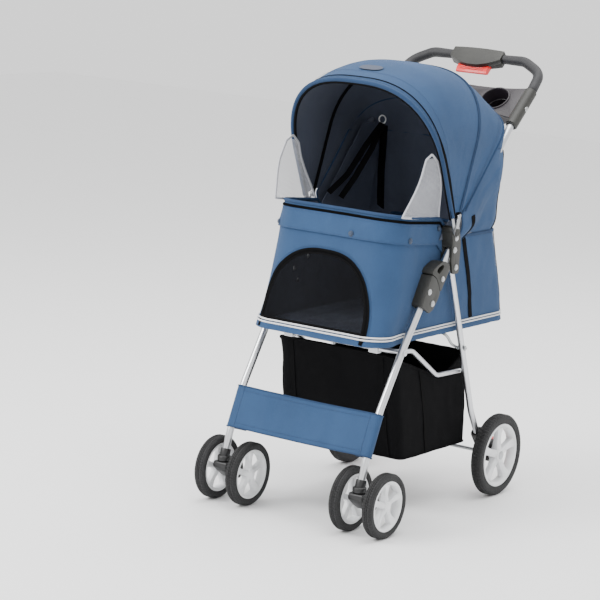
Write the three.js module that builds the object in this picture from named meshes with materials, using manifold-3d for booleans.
// Pet stroller: four-legged folding frame, twin front casters, two big rear wheels,
// a fabric cabin with a two-bow canopy, a cup tray and an under-basket.
// Millimetres, +Z up, the front of the stroller faces -Y, left is -X.
// Side-plane points are [y, z], with y counted from the front axle.
import * as THREE from "three";
import { mergeVertices } from "three/addons/utils/BufferGeometryUtils.js";
import Module from "manifold-3d";

const wasm = await Module();
wasm.setup();

// ---- driving dimensions -------------------------------------------------
const CLEAR = 0.35; // gap kept between touching pieces
const WHEEL_SIDES = 28; // facets of every wheel
const TUBE_SIDES = 10;
const BORE_SIDES = 6;
const PIN_SIDES = 8;
const BEND_STEP = 13; // degrees turned by each short run of a bend
const TUBE_WALL = 1.5;

const WHEELBASE = 495;
const LEG_X = 178; // front legs and handle tube, from the middle
const LEG_R = 8;
const REAR_LEG_R = 7;
const LINK_R = 5.5;
const LINK_X = 161;
const PIN_R = 3;

const FRONT_WHEEL_R = 70.25;
const FRONT_TYRE_W = 25;
const TWIN_SPACING = 84.3; // between the two wheels of a caster
const REAR_WHEEL_R = 93.3;
const REAR_TYRE_W = 27;
const REAR_TRACK = 397.2;
const RIM_SHARE = 0.77; // rim diameter over tyre diameter
const AXLE_R = 4;
const SWIVEL_Y = -33; // caster stem ahead of the front axle
const COLLAR_BOTTOM = 97.5;

const HANDLE_PIVOT = [184, 477]; // where the handle turns on the front legs
const HANDLE_TILT = 55; // degrees, lower run of the handle
const LEG_OFFSET = 18.5; // handle axis behind the leg axis
const CABIN_PIVOT_ALONG = 133; // handle pivot to bracket pivot
const REAR_PIVOT = [270, 547]; // rear leg on the bracket
const CANOPY_PIVOT = [253, 626];
const CABIN_TILT = 28; // degrees the cabin turns on the handle while folding
const FORK_W = 34;
const HOUSING_W = 28;
const CHEEK_T = 5.3;
const LINK_FRONT = [95, 379]; // link frame on the front legs
const LINK_REAR = [368, 300]; // link frame on the rear legs

const CABIN_HALF_W = 161;
const HOOD_HALF_W = 190.4; // rear hood and canopy sides pass outside the handle
const CABIN_BOTTOM = 398;
const FABRIC_T = 2.4;

const BAR = [626, 973]; // middle of the handle bar
const GRIP_R = 11.5;
const HANDLE_PLANE = 43; // degrees, slope of the upper handle and its block
const BLOCK_HALF = 66;
const BLOCK_T = 13; // half thickness of the block in the middle of the bar
const BLOCK_REAR = 16; // reach of the block behind the bar, up the handle's slope
const TRAY_SLOPE = 40;
const TRAY_FRONT = [502, 856];

// ---- colours ------------------------------------------------------------
const finish = (color, roughness, metalness = 0) => ({ color, roughness, metalness });
const SILVER = finish(0xc9ccce, 0.32, 0.9);
const STEEL = finish(0x9a9c9e, 0.35, 0.9);
const DARK_PLASTIC = finish(0x4a4a46, 0.55);
const BLACK_PLASTIC = finish(0x1d1d1f, 0.45);
const TRAY_PLASTIC = finish(0x40383e, 0.5);
const GRIP_FOAM = finish(0x46474b, 0.7);
const RED_PLASTIC = finish(0xe8403c, 0.4);
const RUBBER = finish(0x2b2b2c, 0.85);
const RIM_PLASTIC = finish(0xd9dadc, 0.4);
const BLUE_FABRIC = finish(0x4c6893, 0.85);
const BLACK_FABRIC = finish(0x19191b, 0.9);
const MESH_FABRIC = finish(0xb9bbc2, 0.85);
const WHITE_PLASTIC = finish(0xe6e6e4, 0.45);

// ---- small tools --------------------------------------------------------
const radians = (degrees) => (degrees * Math.PI) / 180;
const add = (a, b, k = 1) => [a[0] + k * b[0], a[1] + k * b[1]];
const direction = (degrees) => [Math.cos(radians(degrees)), Math.sin(radians(degrees))];
const between = (a, b) => [b[0] - a[0], b[1] - a[1]];
const angleOf = (v) => (Math.atan2(v[1], v[0]) * 180) / Math.PI;
const lengthOf = (v) => Math.hypot(v[0], v[1]);
const SIDES = [["left", -1], ["right", 1]];

// the frame's origin is under the middle of the bounding box
const REAR_EDGE = BAR[0] + BLOCK_REAR * direction(HANDLE_PLANE)[0] + BLOCK_T * direction(HANDLE_PLANE)[1];
const CENTRE_Y = (REAR_EDGE - FRONT_WHEEL_R) / 2;

const stroller = new THREE.Group();
stroller.position.y = -CENTRE_Y;

function piece(name, geometry, look, position = [0, 0, 0], rotation = [0, 0, 0]) {
  const mesh = new THREE.Mesh(geometry, new THREE.MeshStandardMaterial(look));
  mesh.name = name;
  mesh.position.set(...position);
  mesh.rotation.set(...rotation);
  stroller.add(mesh);
  return mesh;
}

function solid(geometry) {
  const flat = geometry.index ? geometry.toNonIndexed() : geometry;
  const bare = new THREE.BufferGeometry();
  bare.setAttribute("position", flat.getAttribute("position"));
  const merged = mergeVertices(bare, 1e-4);
  const vertProperties = merged.attributes.position.array;
  const triVerts = new Uint32Array(merged.index.array);
  return new wasm.Manifold(new wasm.Mesh({ numProp: 3, vertProperties, triVerts }));
}

function geometryOf(manifold) {
  const mesh = manifold.getMesh();
  const geometry = new THREE.BufferGeometry();
  geometry.setAttribute("position", new THREE.BufferAttribute(mesh.vertProperties, 3));
  geometry.setIndex(new THREE.BufferAttribute(mesh.triVerts, 1));
  geometry.computeVertexNormals();
  return geometry;
}

const union = (parts) => parts.map(solid).reduce((all, part) => all.add(part));
const cut = (base, tools) => {
  const start = base instanceof THREE.BufferGeometry ? solid(base) : base;
  return tools.map(solid).reduce((rest, tool) => rest.subtract(tool), start);
};

// A path through given points, sharing its stations out one to a point.
class PointPath extends THREE.Curve {
  constructor(points) {
    super();
    this.points = points;
  }
  getPoint(t, target = new THREE.Vector3()) {
    const last = this.points.length - 1;
    const place = Math.min(Math.max(t, 0), 1) * last;
    const start = Math.min(Math.floor(place + 1e-9), last - 1);
    return target.lerpVectors(this.points[start], this.points[start + 1], place - start);
  }
  getTangent(t, target = new THREE.Vector3()) {
    const last = this.points.length - 1;
    const at = Math.round(t * last);
    const before = this.points[Math.max(at - 1, 0)];
    const after = this.points[Math.min(at + 1, last)];
    const here = this.points[at];
    const inward = here.clone().sub(before).normalize();
    const outward = after.clone().sub(here).normalize();
    return target.copy(inward).add(outward).normalize();
  }
  getPointAt(u, target) {
    return this.getPoint(u, target);
  }
  getTangentAt(u, target) {
    return this.getTangent(u, target);
  }
}

// The corners of a polyline rounded to a bend radius, each bend in a few short runs.
function rounded(corners, radius, least = 1) {
  const points = [corners[0].clone()];
  for (let i = 1; i < corners.length - 1; i++) {
    const here = corners[i];
    const back = corners[i - 1].clone().sub(here);
    const ahead = corners[i + 1].clone().sub(here);
    const turn = Math.PI - back.angleTo(ahead);
    const room = Math.min(back.length(), ahead.length()) * 0.48;
    const trim = Math.min(radius * Math.tan(turn / 2), room);
    const start = here.clone().addScaledVector(back.normalize(), trim);
    const end = here.clone().addScaledVector(ahead.normalize(), trim);
    const bend = new THREE.QuadraticBezierCurve3(start, here, end);
    const steps = Math.max(least, Math.round((turn * 180) / Math.PI / BEND_STEP));
    points.push(...bend.getPoints(steps));
  }
  points.push(corners.at(-1).clone());
  return points;
}

const ring = (radius, sides, phase = 0) =>
  Array.from({ length: sides }, (_, i) => {
    const a = phase + (2 * Math.PI * i) / sides;
    return new THREE.Vector2(radius * Math.cos(a), radius * Math.sin(a));
  });

function disc(radius, bore = 0, sides = TUBE_SIDES) {
  const shape = new THREE.Shape(ring(radius, sides));
  if (bore) shape.holes.push(new THREE.Path(ring(bore, Math.min(sides, BORE_SIDES))));
  return shape;
}

// A tube, or a bar when it has no bore, along a list of points.
function tube(points, radius, bore = 0, sides = TUBE_SIDES) {
  const options = { steps: points.length - 1, extrudePath: new PointPath(points) };
  return new THREE.ExtrudeGeometry(disc(radius, bore, sides), options);
}

const at = (x, [y, z]) => new THREE.Vector3(x, y, z);

// A pin along X through a side-plane point.
const crossPin = (from, to, point, radius, sides = PIN_SIDES) =>
  tube([at(from, point), at(to, point)], radius, 0, sides);

// A side-plane outline given thickness along X.
function plate(outline, from, to) {
  const shape = Array.isArray(outline)
    ? new THREE.Shape(outline.map((p) => new THREE.Vector2(...p)))
    : outline;
  const geometry = new THREE.ExtrudeGeometry(shape, { depth: to - from, bevelEnabled: false });
  const turn = new THREE.Matrix4().makeBasis(
    new THREE.Vector3(0, 1, 0), new THREE.Vector3(0, 0, 1), new THREE.Vector3(1, 0, 0));
  geometry.applyMatrix4(turn);
  return geometry.translate(from, 0, 0);
}

// A side-plane outline with its corners rounded.
function softOutline(corners, radius) {
  const loop = corners.map((p) => new THREE.Vector3(p[0], p[1], 0));
  const count = loop.length;
  const points = loop.flatMap((here, i) => {
    const run = [loop[(i + count - 1) % count], here, loop[(i + 1) % count]];
    return rounded(run, radius, 2).slice(1, -1);
  });
  return points.map((p) => [p.x, p.y]);
}

// A box from its low corner to its high corner.
function block(low, high) {
  const size = high.map((v, i) => v - low[i]);
  const middle = high.map((v, i) => (v + low[i]) / 2);
  return new THREE.BoxGeometry(...size).translate(...middle);
}

// A thick sheet over a surface: surface(u, v) gives a point, thickness goes inwards.
function thickSheet(surface, inward, nu, nv, thickness) {
  const outer = [];
  const inner = [];
  for (let i = 0; i <= nu; i++)
    for (let j = 0; j <= nv; j++) {
      const point = surface(i / nu, j / nv);
      outer.push(point);
      inner.push(point.clone().addScaledVector(inward(i / nu, j / nv), thickness));
    }
  const index = [];
  const count = outer.length;
  const id = (i, j) => i * (nv + 1) + j;
  const quad = (a, b, c, d) => index.push(a, b, c, a, c, d);
  for (let i = 0; i < nu; i++)
    for (let j = 0; j < nv; j++) {
      const [a, b, c, d] = [id(i, j), id(i + 1, j), id(i + 1, j + 1), id(i, j + 1)];
      quad(a, b, c, d);
      quad(count + d, count + c, count + b, count + a);
    }
  for (let i = 0; i < nu; i++) {
    const [a, b, c, d] = [id(i, 0), id(i + 1, 0), id(i, nv), id(i + 1, nv)];
    quad(a, count + a, count + b, b);
    quad(d, count + d, count + c, c);
  }
  for (let j = 0; j < nv; j++) {
    const [a, b, c, d] = [id(0, j), id(0, j + 1), id(nu, j), id(nu, j + 1)];
    quad(b, count + b, count + a, a);
    quad(c, count + c, count + d, d);
  }
  const geometry = new THREE.BufferGeometry().setFromPoints([...outer, ...inner]);
  geometry.setIndex(index);
  geometry.computeVertexNormals();
  return geometry;
}

// ---- the handle's own frame: along the tube and towards the front -------
const ALONG = direction(HANDLE_TILT);
const FRONTWARDS = direction(HANDLE_TILT + 90);
const onHandle = ([along, front]) =>
  add(add(HANDLE_PIVOT, ALONG, along), FRONTWARDS, front);
const CABIN_PIVOT = onHandle([CABIN_PIVOT_ALONG, 0]);

// ---- wheels -------------------------------------------------------------
const FLAT = Math.PI / WHEEL_SIDES; // puts a facet at the bottom
const toCorner = (radius) => radius / Math.cos(FLAT);

function tyreGeometry(radius, width) {
  const half = width / 2;
  const seat = radius * RIM_SHARE + CLEAR;
  const shoulder = radius * 0.93;
  const profile = [
    [seat, -half * 0.8], [shoulder, -half], [radius, -half * 0.55],
    [radius, half * 0.55], [shoulder, half], [seat, half * 0.8], [seat, -half * 0.8],
  ].map(([r, h]) => new THREE.Vector2(toCorner(r), h));
  return new THREE.LatheGeometry(profile, WHEEL_SIDES, FLAT).rotateZ(-Math.PI / 2);
}

// Five flared spokes between a hub and a rim ring.
function rimGeometry(radius, width) {
  const outer = toCorner(radius * RIM_SHARE);
  const shape = new THREE.Shape(ring(outer, WHEEL_SIDES, FLAT));
  shape.holes.push(new THREE.Path(ring(AXLE_R + CLEAR + 0.3, PIN_SIDES)));
  const [inner, edge] = [outer * 0.36, outer * 0.82];
  for (let i = 0; i < 5; i++) {
    const middle = radians(90 + 36 + 72 * i);
    const corner = (r, half) => {
      const a = middle + radians(half);
      return new THREE.Vector2(r * Math.cos(a), r * Math.sin(a));
    };
    const window = [
      corner(inner, -12), corner(edge * 0.92, -23), corner(edge, -17), corner(edge * 1.02, 0),
      corner(edge, 17), corner(edge * 0.92, 23), corner(inner, 12),
    ];
    shape.holes.push(new THREE.Path(window));
  }
  const depth = width * 0.72;
  const flat = new THREE.ExtrudeGeometry(shape, { depth, bevelEnabled: false });
  return flat.translate(0, 0, -depth / 2).rotateY(Math.PI / 2);
}

function wheel(name, x, y, radius, width) {
  piece(`${name}_tyre`, tyreGeometry(radius, width), RUBBER, [x, y, radius]);
  piece(`${name}_rim`, rimGeometry(radius, width), RIM_PLASTIC, [x, y, radius]);
}

// ---- front casters ------------------------------------------------------
const FORK_OUTLINE = softOutline(
  [[-49, 96.7], [-12, 96.7], [14, 90], [19, 70], [8, 54], [-12, 56], [-38, 74], [-50, 84]], 8);

function caster(side, sign) {
  const x = sign * LEG_X;
  const axle = [0, FRONT_WHEEL_R];
  const body = union([
    plate(FORK_OUTLINE, x - FORK_W / 2, x + FORK_W / 2),
    tube([new THREE.Vector3(x, SWIVEL_Y, 90), new THREE.Vector3(x, SWIVEL_Y, 102)], PIN_R + 1),
  ]);
  const bore = crossPin(x - FORK_W, x + FORK_W, axle, AXLE_R + CLEAR);
  piece(`caster_fork_${side}`, geometryOf(cut(body, [bore])), BLACK_PLASTIC);
  const reach = (TWIN_SPACING + FRONT_TYRE_W) / 2;
  piece(`front_axle_${side}`, crossPin(x - reach, x + reach, axle, AXLE_R), STEEL);
  for (const [place, way] of [["inner", -sign], ["outer", sign]]) {
    const wheelX = x + (way * TWIN_SPACING) / 2;
    wheel(`front_${side}_${place}`, wheelX, 0, FRONT_WHEEL_R, FRONT_TYRE_W);
  }
}

// ---- front frame --------------------------------------------------------
const LEG_CORNERS = [[-33, 104], [-17, 160], [25, 262], [95, 379], [154, 466], [170, 490]];
const PANEL_FOOT = [-13.2, 169.2];
const legPoints = (x) => rounded(LEG_CORNERS.map((p) => at(x, p)), 120);

function frontLeg(side, sign) {
  const x = sign * LEG_X;
  const bare = tube(legPoints(x), LEG_R, LEG_R - TUBE_WALL);
  const linkBore = crossPin(x - 2 * LEG_R, x + 2 * LEG_R, LINK_FRONT, PIN_R + 0.8);
  piece(`front_leg_${side}`, geometryOf(cut(bare, [linkBore])), SILVER);
}

function collar(side, sign) {
  const x = sign * LEG_X;
  const upright = (z) => new THREE.Vector3(x, SWIVEL_Y, z);
  const [foot, knee] = LEG_CORNERS;
  const lean = angleOf(between(foot, knee));
  const body = union([
    tube([upright(COLLAR_BOTTOM), upright(109)], 15, 0, 20),
    tube([at(x, foot), at(x, add(foot, direction(lean), 20))], 11.4, 0, 16),
  ]);
  const stem = tube([upright(COLLAR_BOTTOM - 1), upright(102.6)], PIN_R + 1 + CLEAR);
  const legBore = tube(legPoints(x), LEG_R + CLEAR);
  piece(`caster_collar_${side}`, geometryOf(cut(body, [stem, legBore])), BLACK_PLASTIC);
}

// Fabric panel: a front sheet with a sleeve round each leg.
function frontPanel() {
  const height = 92;
  const lean = angleOf(between(LEG_CORNERS[1], LEG_CORNERS[2]));
  const sleeve = LEG_R + CLEAR + FABRIC_T;
  const top = add(PANEL_FOOT, direction(lean), height);
  const straight = (sign, radius, extra = 0) => {
    const start = add(PANEL_FOOT, direction(lean), -extra);
    const end = add(top, direction(lean), extra);
    return tube([at(sign * LEG_X, start), at(sign * LEG_X, end)], radius, 0, 16);
  };
  const sheet = new THREE.BoxGeometry(2 * LEG_X, FABRIC_T, height);
  sheet.translate(0, -(sleeve - FABRIC_T / 2 - 0.3), height / 2);
  sheet.rotateX(radians(lean - 90)).translate(0, ...PANEL_FOOT);
  const body = union([straight(-1, sleeve), sheet, straight(1, sleeve)]);
  const bores = [-1, 1].map((sign) => straight(sign, LEG_R + CLEAR, 5));
  piece("front_panel", geometryOf(cut(body, bores)), BLUE_FABRIC);
}

// ---- lock hinge ---------------------------------------------------------
const HOUSING_OUTLINE = softOutline([
  [-25, 33], [-23, -2], [-8, -11], [19, -13.5], [32.4, -11.5], [44, 7], [49.4, 24], [47.3, 43],
].map(onHandle), 5);

function hingeHousing(side, sign) {
  const x = sign * LEG_X;
  const body = plate(HOUSING_OUTLINE, x - HOUSING_W / 2, x + HOUSING_W / 2);
  const legBore = tube(legPoints(x), LEG_R + CLEAR);
  const open = [[-60, 9], [80, 9], [80, -60], [-60, -60]].map(onHandle);
  const slot = plate(open, x - HOUSING_W / 2 + CHEEK_T, x + HOUSING_W / 2 - CHEEK_T);
  const bore = crossPin(x - HOUSING_W, x + HOUSING_W, HANDLE_PIVOT, PIN_R + CLEAR);
  piece(`hinge_housing_${side}`, geometryOf(cut(body, [legBore, slot, bore])), DARK_PLASTIC);
}

// A rivet: a shank with a head on each cheek.
function rivet(name, x, point, halfSpan) {
  const [head, thick] = [5.2, 1.6];
  const face = halfSpan + CLEAR;
  const parts = [
    crossPin(x - face - 0.5, x + face + 0.5, point, PIN_R),
    crossPin(x - face - thick, x - face, point, head),
    crossPin(x + face, x + face + thick, point, head),
  ];
  piece(name, geometryOf(union(parts)), STEEL);
}

const LATCH_OUTLINE = softOutline([
  [33.4, -12], [45.2, 7], [50.6, 24], [48.6, 45], [60, 45], [74, 37], [88, 27], [96, 15],
  [98, 4], [98, -4], [92, -12],
].map(onHandle), 5);
const LATCH_HOLE = softOutline([[62, 33], [72, 31], [84, 22], [87, 14], [78, 13], [62, 20]]
  .map(onHandle), 4);

function latch(side, sign) {
  const x = sign * LEG_X;
  const half = HOUSING_W / 2;
  const body = plate(LATCH_OUTLINE, x - half, x + half);
  const ends = [[20, 0], [120, 0]].map((p) => at(x, onHandle(p)));
  const tools = [tube(ends, LEG_R + 0.5), plate(LATCH_HOLE, x - half - 1, x + half + 1)];
  piece(`hinge_latch_${side}`, geometryOf(cut(body, tools)), DARK_PLASTIC);
}

// ---- handle -------------------------------------------------------------
const TUBE_KNEE = [275, 607];
const TRAY_KNEE = [480, 836];
const GRIP_KNEE = [572, 920];
const CORNER = [[171, 613, 951], [122, 626, 973]];

function handleCorners(sign) {
  const start = onHandle([-5, 0]);
  const upright = [start, TUBE_KNEE, TRAY_KNEE, GRIP_KNEE].map((p) => at(sign * LEG_X, p));
  const turn = CORNER.map(([x, y, z]) => new THREE.Vector3(sign * x, y, z));
  return [...upright, ...turn];
}
const handlePoints = rounded([...handleCorners(1), ...handleCorners(-1).reverse()], 45);

function handleTube() {
  const bare = tube(handlePoints, LEG_R, LEG_R - TUBE_WALL);
  const reach = LEG_X + 2 * LEG_R;
  const bores = [HANDLE_PIVOT, CABIN_PIVOT].map((p) => crossPin(-reach, reach, p, PIN_R + CLEAR));
  piece("handle_tube", geometryOf(cut(bare, bores)), SILVER);
}

// The stretch of the handle between the tray clamp and the middle block.
function grip(side, sign) {
  const lean = direction(angleOf(between(TRAY_KNEE, GRIP_KNEE)));
  const start = add(GRIP_KNEE, lean, -9);
  const corners = [at(sign * LEG_X, start), at(sign * LEG_X, GRIP_KNEE)];
  corners.push(...CORNER.map(([x, y, z]) => new THREE.Vector3(sign * x, y, z)));
  const core = [...corners, new THREE.Vector3(-sign * 118, ...BAR)];
  const path = rounded(core, 45).slice(0, -1);
  path.push(new THREE.Vector3(sign * (BLOCK_HALF + CLEAR), ...BAR));
  piece(`handle_grip_${side}`, tube(path, GRIP_R, LEG_R + CLEAR + 0.9, 14), GRIP_FOAM);
}

// Block frame: x, up the slope of the handle's plane, and out of its top face.
const onBlock = (geometry) => geometry.rotateX(radians(HANDLE_PLANE)).translate(0, ...BAR);
const BUTTON = { halfX: 40, tip: -47, end: -18, under: -12, over: 2 };
const POCKET_END = -11;

// Lens-shaped cover halves round the bar, split at its axis.
function handleBlock() {
  const lens = (bulge) => {
    const shape = new THREE.Shape();
    shape.moveTo(-BLOCK_HALF, -14);
    shape.quadraticCurveTo(-BLOCK_HALF / 2, -bulge, 0, -bulge);
    shape.quadraticCurveTo(BLOCK_HALF / 2, -bulge, BLOCK_HALF, -14);
    shape.lineTo(BLOCK_HALF, BLOCK_REAR - 3);
    shape.quadraticCurveTo(0, BLOCK_REAR + 3, -BLOCK_HALF, BLOCK_REAR - 3);
    return shape;
  };
  const slab = (shape, low, high) => new THREE.ExtrudeGeometry(shape, {
    depth: high - low, bevelEnabled: false, curveSegments: 8,
  }).translate(0, 0, low);
  const barBore = crossPin(-100, 100, [0, 0], LEG_R + CLEAR + 0.4, TUBE_SIDES);
  const { halfX, under, over } = BUTTON;
  const pocket = block([-halfX - 0.5, -60, under - 0.5], [halfX + 0.5, POCKET_END, over + 0.5]);
  const tools = [barBore, pocket].map(onBlock);
  const upper = onBlock(slab(lens(36), CLEAR / 2, BLOCK_T));
  const lower = onBlock(slab(lens(26), -BLOCK_T, -CLEAR / 2));
  piece("handle_block_upper", geometryOf(cut(upper, tools)), DARK_PLASTIC);
  piece("handle_block_lower", geometryOf(cut(lower, tools)), DARK_PLASTIC);
}

function releaseButton() {
  const { halfX, tip, end, under, over } = BUTTON;
  const outline = [
    [tip + 6, under], [end, under], [end, over], [tip + 9, over], [tip, over - 4], [tip, under + 5],
  ];
  const middle = (under + over) / 2;
  const post = (from, to) => [new THREE.Vector3(0, from, middle), new THREE.Vector3(0, to, middle)];
  const well = onBlock(tube(post(end - 12, end + 1), 5.2, 0, PIN_SIDES));
  piece("release_button", geometryOf(cut(onBlock(plate(outline, -halfX, halfX)), [well])), RED_PLASTIC);
  const spring = tube(post(end - 11.6, POCKET_END - CLEAR), 4.2, 2.8, PIN_SIDES);
  piece("release_spring", onBlock(spring), STEEL);
}

// ---- cup tray -----------------------------------------------------------
const TRAY_HALF = 163.2;
const CUP = { x: 98, along: 55, radius: 34, depth: 52, wall: 2.5 };
const BIN = { halfX: 40, front: 40, back: 76, depth: 30 };

// Tray frame: x, up the slope, and out of its top face.
function onTray(geometry) {
  return geometry.rotateX(radians(TRAY_SLOPE)).translate(0, ...TRAY_FRONT);
}

function tray() {
  const shape = new THREE.Shape();
  shape.moveTo(-TRAY_HALF, 2);
  shape.quadraticCurveTo(-90, 12, -55, 28);
  shape.quadraticCurveTo(0, 38, 55, 28);
  shape.quadraticCurveTo(90, 12, TRAY_HALF, 2);
  shape.lineTo(TRAY_HALF, 98);
  shape.quadraticCurveTo(90, 84, 0, 90);
  shape.quadraticCurveTo(-90, 84, -TRAY_HALF, 98);
  const plateT = 5;
  const options = { depth: plateT, bevelEnabled: false, curveSegments: 5 };
  const top = new THREE.ExtrudeGeometry(shape, options).translate(0, 0, -plateT);
  const column = (x, y, low, high, radius) =>
    tube([new THREE.Vector3(x, y, low), new THREE.Vector3(x, y, high)], radius, 0, 24);
  const wells = [-1, 1].map((s) => s * CUP.x);
  const outer = wells.map((x) => column(x, CUP.along, -CUP.depth, -1, CUP.radius));
  const inner = wells.map((x) =>
    column(x, CUP.along, -CUP.depth + CUP.wall, 5, CUP.radius - CUP.wall));
  const { halfX, front, back, depth } = BIN;
  const binOuter = block([-halfX, front, -depth], [halfX, back, -1]);
  const w = CUP.wall;
  const binInner = block([-halfX + w, front + w, -depth + w], [halfX - w, back - w, 5]);
  const body = union([top, ...outer, binOuter].map(onTray));
  piece("cup_tray", geometryOf(cut(body, [...inner, binInner].map(onTray))), TRAY_PLASTIC);
}

function trayClamp(side, sign) {
  const lean = direction(angleOf(between(TRAY_KNEE, GRIP_KNEE)));
  const run = lengthOf(between(TRAY_KNEE, GRIP_KNEE));
  const place = (s) => at(sign * LEG_X, add(TRAY_KNEE, lean, s));
  const ends = [place(8), place(run - 9.6)];
  const body = tube(ends, LEG_R + 6, 0, 20);
  const bore = tube(handlePoints, LEG_R + CLEAR, 0, TUBE_SIDES);
  piece(`tray_clamp_${side}`, geometryOf(cut(body, [bore])), DARK_PLASTIC);
}

// ---- cabin bracket ------------------------------------------------------
const BRACKET_OUTLINE = softOutline([
  [257, 533], [283, 533], [284, 596], [277, 624], [264, 637], [250, 637], [245.5, 625],
  [249.5, 606], [249.5, 562],
], 8);

function bracket(side, sign) {
  const x = sign * LEG_X;
  const half = HOUSING_W / 2;
  const body = plate(BRACKET_OUTLINE, x - half, x + half);
  const slots = [0, CABIN_TILT].map((tilt) => {
    const along = direction(HANDLE_TILT - tilt);
    const front = direction(HANDLE_TILT - tilt + 90);
    const corner = ([a, b]) => add(add(CABIN_PIVOT, along, a), front, b);
    const open = [[-73, 9.3], [107, 9.3], [107, -90], [-73, -90]].map(corner);
    return plate(open, x - half + CHEEK_T, x + half - CHEEK_T);
  });
  const cheeks = cut(body, slots);
  const pins = [CABIN_PIVOT, REAR_PIVOT].map((p) => crossPin(x - half - 1.6, x + half + 1.6, p, PIN_R));
  const stud = [sign * (LEG_X - half), sign * (LEG_X + half + 7)].sort((a, b) => a - b);
  pins.push(crossPin(...stud, CANOPY_PIVOT, PIN_R));
  const whole = pins.map(solid).reduce((all, pin) => all.add(pin), cheeks);
  piece(`cabin_bracket_${side}`, geometryOf(whole), DARK_PLASTIC);
}

// ---- rear frame ---------------------------------------------------------
const REAR_TOP = add(REAR_PIVOT, direction(111.6), 7);
const REAR_KNEE = [407.6, 203];
const REAR_FOOT = [452, 131];
const AXLE = [WHEELBASE, REAR_WHEEL_R];
const PEDAL_PIVOT = [514, 110];
const BLOCK_X = [164.4, 184.3]; // inner and outer face of the axle block
const AXLE_BLOCK = softOutline([
  [430, 148], [454, 163], [484, 118], [506, 124], [523, 116], [522, 100], [512, 80], [484, 75],
  [468, 100],
], 9);
const rearLegPoints = (sign) => rounded([
  at(sign * LEG_X, REAR_TOP), at(sign * 175, REAR_KNEE), at(sign * 174.4, REAR_FOOT),
], 120);

function rearLeg(side, sign) {
  const bare = tube(rearLegPoints(sign), REAR_LEG_R, REAR_LEG_R - TUBE_WALL);
  const bore = crossPin(sign * 150, sign * 200, REAR_PIVOT, PIN_R + CLEAR);
  piece(`rear_leg_${side}`, geometryOf(cut(bare, [bore])), SILVER);
}

function axleBlock(side, sign) {
  const [inner, outer] = sign > 0 ? BLOCK_X : BLOCK_X.map((v) => -v).reverse();
  const stub = sign * (BLOCK_X[0] - 23);
  const body = union([
    plate(AXLE_BLOCK, inner, outer),
    crossPin(Math.min(stub, sign * 170), Math.max(stub, sign * 170), PEDAL_PIVOT, AXLE_R),
  ]);
  const tools = [
    tube(rearLegPoints(sign), REAR_LEG_R + CLEAR),
    crossPin(sign * 150, sign * 200, AXLE, AXLE_R + 1 + CLEAR),
  ];
  piece(`axle_block_${side}`, geometryOf(cut(body, tools)), BLACK_PLASTIC);
}

function brakePedal(side, sign) {
  const outline = softOutline([
    [505, 112], [509, 121], [522, 119], [557, 117], [562, 110], [556, 104], [520, 102],
    [507, 102],
  ], 4);
  const [near, far] = [BLOCK_X[0] - CLEAR - 0.2, BLOCK_X[0] - 22].map((v) => sign * v);
  const body = plate(outline, Math.min(near, far), Math.max(near, far));
  const bore = crossPin(sign * 130, sign * 180, PEDAL_PIVOT, AXLE_R + CLEAR);
  piece(`brake_pedal_${side}`, geometryOf(cut(body, [bore])), RED_PLASTIC);
}

function rearAxle() {
  const reach = (REAR_TRACK + REAR_TYRE_W) / 2;
  piece("rear_axle", crossPin(-reach, reach, AXLE, AXLE_R), STEEL);
}

// Bent wire between the rear legs, close under the cabin floor.
function supportWire() {
  const side = (sign) => [
    at(sign * 163.5, [344, 357]), at(sign * 163.5, [322, 366]), at(sign * 158, [305, 391]),
  ];
  const corners = [...side(1), ...side(-1).reverse()];
  piece("support_wire", tube(rounded(corners, 24), 3, 0, PIN_SIDES), STEEL);
}

// ---- link frame ---------------------------------------------------------
function linkFrame() {
  const arm = (sign) => [
    at(sign * LINK_X, LINK_REAR), at(sign * LINK_X, [272, 302]), at(sign * LINK_X, [165, 371]),
    at(sign * LINK_X, LINK_FRONT),
  ];
  const path = rounded([...arm(1), ...arm(-1).reverse()], 30);
  const stubs = [-1, 1].map((sign) => {
    const ends = [sign * (LINK_X - 36), sign * (LEG_X + LEG_R + 4)].sort((a, b) => a - b);
    return crossPin(...ends, LINK_FRONT, PIN_R);
  });
  piece("link_frame", geometryOf(union([tube(path, LINK_R), ...stubs])), SILVER);
}

// Clip that holds the cabin's front edge to the link frame.
function linkClip(side, sign) {
  const [low, high] = [sign * 100, sign * 122].sort((a, b) => a - b);
  const outline = softOutline([[86, 369], [104, 369], [107, 392], [97, 397], [86, 392]], 3);
  const body = plate(outline, low, high);
  const bore = crossPin(-LEG_X, LEG_X, LINK_FRONT, LINK_R + 2 * CLEAR, TUBE_SIDES);
  piece(`link_clip_${side}`, geometryOf(cut(body, [bore])), WHITE_PLASTIC);
}

// ---- soft parts ---------------------------------------------------------
// A rectangle in plan with rounded corners, given height.
function pillar(halfX, front, back, frontR, backR, low, high) {
  const shape = new THREE.Shape();
  shape.moveTo(-halfX + frontR, front);
  shape.lineTo(halfX - frontR, front);
  shape.quadraticCurveTo(halfX, front, halfX, front + frontR);
  shape.lineTo(halfX, back - backR);
  shape.quadraticCurveTo(halfX, back, halfX - backR, back);
  shape.lineTo(-halfX + backR, back);
  shape.quadraticCurveTo(-halfX, back, -halfX, back - backR);
  shape.lineTo(-halfX, front + frontR);
  shape.quadraticCurveTo(-halfX, front, -halfX + frontR, front);
  const options = { depth: high - low, bevelEnabled: false, curveSegments: 4 };
  return new THREE.ExtrudeGeometry(shape, options).translate(0, 0, low);
}

// An outline seen from the side, swept over the whole width.
const sideSlab = (outline, halfX = 230) => plate(outline, -halfX, halfX);

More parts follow.
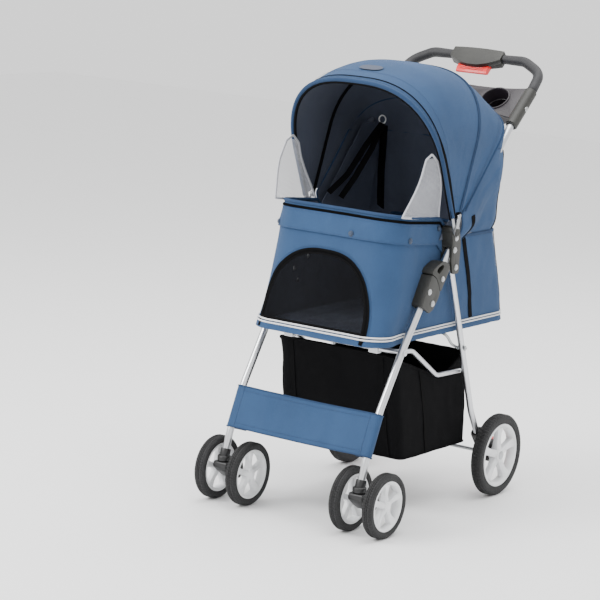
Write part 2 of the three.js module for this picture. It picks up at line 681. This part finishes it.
function cabinTub() {
  const wall = FABRIC_T;
  const front = (z) => 28 + ((z - CABIN_BOTTOM) * 48) / 270;
  const back = (z) => 571 - ((z - CABIN_BOTTOM) * 62) / 206;
  const rim = [[front(668), 668], [120, 660], [246, 612], [300, 604], [back(604), 604]];
  const outer = [[front(CABIN_BOTTOM), CABIN_BOTTOM], ...rim, [back(CABIN_BOTTOM), CABIN_BOTTOM]];
  const floor = CABIN_BOTTOM + wall;
  const inner = [
    [front(floor) + wall, floor], [front(700) + wall, 700], [back(700) - wall, 700],
    [back(floor) - wall, floor],
  ];
  const shell = (halfX, grow) =>
    solid(pillar(halfX, 20, 600, 60 - grow, 60 - grow, CABIN_BOTTOM - 5, 720));
  const outside = solid(sideSlab(outer)).intersect(shell(CABIN_HALF_W, 0));
  const inside = solid(sideSlab(inner)).intersect(shell(CABIN_HALF_W - wall, wall));
  piece("cabin_tub", geometryOf(outside.subtract(inside)), BLUE_FABRIC);
}

const BOARD_HALF = 120; // narrow enough to pass between the front wheels when folded

function floorBoard() {
  piece("floor_board", block([-BOARD_HALF, 62, 401.2], [BOARD_HALF, 548, 405.2]), BLACK_FABRIC);
}

// Upper sides and back of the cabin, outside the handle tubes.
function rearHood() {
  const outline = [[294, 606], [512, 606], [490, 795], [418, 794], [294, 662]];
  const outer = solid(sideSlab(outline)).intersect(
    solid(pillar(HOOD_HALF_W, 200, 512, 10, 80, 600, 830)));
  const lean = (512 - 488) / (812 - 606);
  const back = (z) => 512 - FABRIC_T - (z - 606) * lean;
  const inner = [[200, 590], [back(590), 590], [back(840), 840], [200, 840]];
  const inside = solid(sideSlab(inner)).intersect(
    solid(pillar(HOOD_HALF_W - FABRIC_T, 180, 512 - FABRIC_T, 10, 78, 580, 850)));
  piece("rear_hood", geometryOf(outer.subtract(inside)), BLUE_FABRIC);
}

// ---- canopy -------------------------------------------------------------
// A bow of the canopy: upright sides, then an arch; t runs -1 to 1 across.
const FRONT_BOW = { angle: 114, reach: 342, spring: 150, half: 194 };
const MIDDLE_BOW = { angle: 71.5, reach: 357, spring: 190, half: 195 };
const REAR_EDGE_BOW = { angle: 47, reach: 338, spring: 225, half: 193 };

const SIDE_SHARE = 0.42; // part of t on each upright side
const shareAt = (bow, out) => (SIDE_SHARE * out) / bow.spring;

function bowPoint(bow, t, inset = 0) {
  const sign = Math.sign(t) || 1;
  const fromTop = 1 - Math.abs(t);
  const half = bow.half - inset;
  const reach = bow.reach - inset;
  let [x, out] = [half, (fromTop / SIDE_SHARE) * bow.spring];
  if (fromTop > SIDE_SHARE) {
    const a = (((fromTop - SIDE_SHARE) / (1 - SIDE_SHARE)) * Math.PI) / 2;
    x = half * Math.cos(a) ** 0.72;
    out = bow.spring + (reach - bow.spring) * Math.sin(a) ** 0.9;
  }
  const [dy, dz] = direction(bow.angle);
  return new THREE.Vector3(sign * x, CANOPY_PIVOT[0] + dy * out, CANOPY_PIVOT[1] + dz * out);
}

const mix = (a, b, k) => a + (b - a) * k;
const mixBow = (a, b, k) => Object.fromEntries(Object.keys(a).map((key) =>
  [key, mix(a[key], b[key], k)]));

function bowRod(name, bow, eyeletX) {
  const count = 22;
  const inset = 6;
  const points = [];
  const end = 1 - shareAt(bow, 30);
  for (let i = 0; i <= count; i++) points.push(bowPoint(bow, end * (-1 + (2 * i) / count), inset));
  const eyelet = (sign) => {
    const [low, high] = [sign * eyeletX, sign * (eyeletX + 2)].sort((a, b) => a - b);
    const out = direction(bow.angle);
    const side = direction(bow.angle + 90);
    const corner = (a, b) => add(add(CANOPY_PIVOT, out, a), side, b);
    const outline = softOutline([
      corner(-6, -6), corner(41, -4), corner(41, 4), corner(-6, 6)], 5);
    const inner = sign * (bow.half - inset - 2);
    const outer = sign * (eyeletX + 2);
    const weld = crossPin(Math.min(inner, outer), Math.max(inner, outer), corner(36, 0), 2.4);
    return union([plate(outline, low, high), weld]);
  };
  const bores = [crossPin(-230, 230, CANOPY_PIVOT, PIN_R + CLEAR)];
  const body = solid(tube(points, 2, 0, 8)).add(eyelet(-1)).add(eyelet(1));
  piece(name, geometryOf(cut(body, bores)), STEEL);
}

function canopySheet(name, from, to) {
  const start = 0.12; // share of t left bare at each end, above the pivots
  const surface = (u, v) => {
    const t = mix(-1 + start, 1 - start, u);
    return bowPoint(mixBow(from, to, v), t);
  };
  const inward = (u, v) => {
    const here = surface(u, v);
    const centre = new THREE.Vector3(0, CANOPY_PIVOT[0], CANOPY_PIVOT[1] + 60);
    return centre.sub(here).normalize();
  };
  const geometry = thickSheet(surface, inward, 22, 4, FABRIC_T);
  piece(name, geometry, BLUE_FABRIC);
}

function canopy() {
  bowRod("canopy_bow_front", FRONT_BOW, LEG_X + HOUSING_W / 2 + 0.5);
  bowRod("canopy_bow_middle", MIDDLE_BOW, LEG_X + HOUSING_W / 2 + 3);
  const middle = (shift) => ({ ...MIDDLE_BOW, angle: MIDDLE_BOW.angle + shift });
  canopySheet("canopy_front", FRONT_BOW, middle(0.4));
  canopySheet("canopy_rear", middle(-0.4), REAR_EDGE_BOW);
}

// Light side mesh between the cabin rim and the front bow.
function sideMesh(side, sign) {
  const outline = [[84, 671], [124, 664], [228, 624], [180, 765], [164, 776]];
  const [low, high] = [sign * 158, sign * 159.5].sort((a, b) => a - b);
  piece(`side_mesh_${side}`, plate(outline, low, high), MESH_FABRIC);
}

// ---- basket -------------------------------------------------------------
function basket() {
  const wall = FABRIC_T;
  const outer = [[160, 126], [104, 364], [130, 350], [300, 292], [412, 336], [424, 132]];
  const shell = (grow) => solid(pillar(155 - grow, 90, 440, 16 - grow, 16 - grow, 100, 430));
  const outside = solid(sideSlab(outer)).intersect(shell(0));
  const cavity = [
    [160 + wall, 126 + wall], [104 + wall, 364], [104 + wall, 430], [412 - wall, 430],
    [412 - wall, 336], [424 - wall, 132 + wall],
  ];
  const inside = solid(sideSlab(cavity)).intersect(shell(wall));
  piece("basket", geometryOf(outside.subtract(inside)), BLACK_FABRIC);
}

// ---- assembly -----------------------------------------------------------
frontPanel();
basket();
cabinTub();
floorBoard();
rearHood();
canopy();
handleTube();
handleBlock();
releaseButton();
tray();
rearAxle();
supportWire();
linkFrame();
const pivotSpan = HOUSING_W / 2;
for (const [side, sign] of SIDES) {
  frontLeg(side, sign);
  collar(side, sign);
  caster(side, sign);
  hingeHousing(side, sign);
  latch(side, sign);
  rivet(`hinge_pin_${side}`, sign * LEG_X, HANDLE_PIVOT, pivotSpan);
  grip(side, sign);
  trayClamp(side, sign);
  bracket(side, sign);
  rearLeg(side, sign);
  axleBlock(side, sign);
  brakePedal(side, sign);
  linkClip(side, sign);
  sideMesh(side, sign);
  wheel(`rear_${side}`, (sign * REAR_TRACK) / 2, WHEELBASE, REAR_WHEEL_R, REAR_TYRE_W);
}

export default stroller;
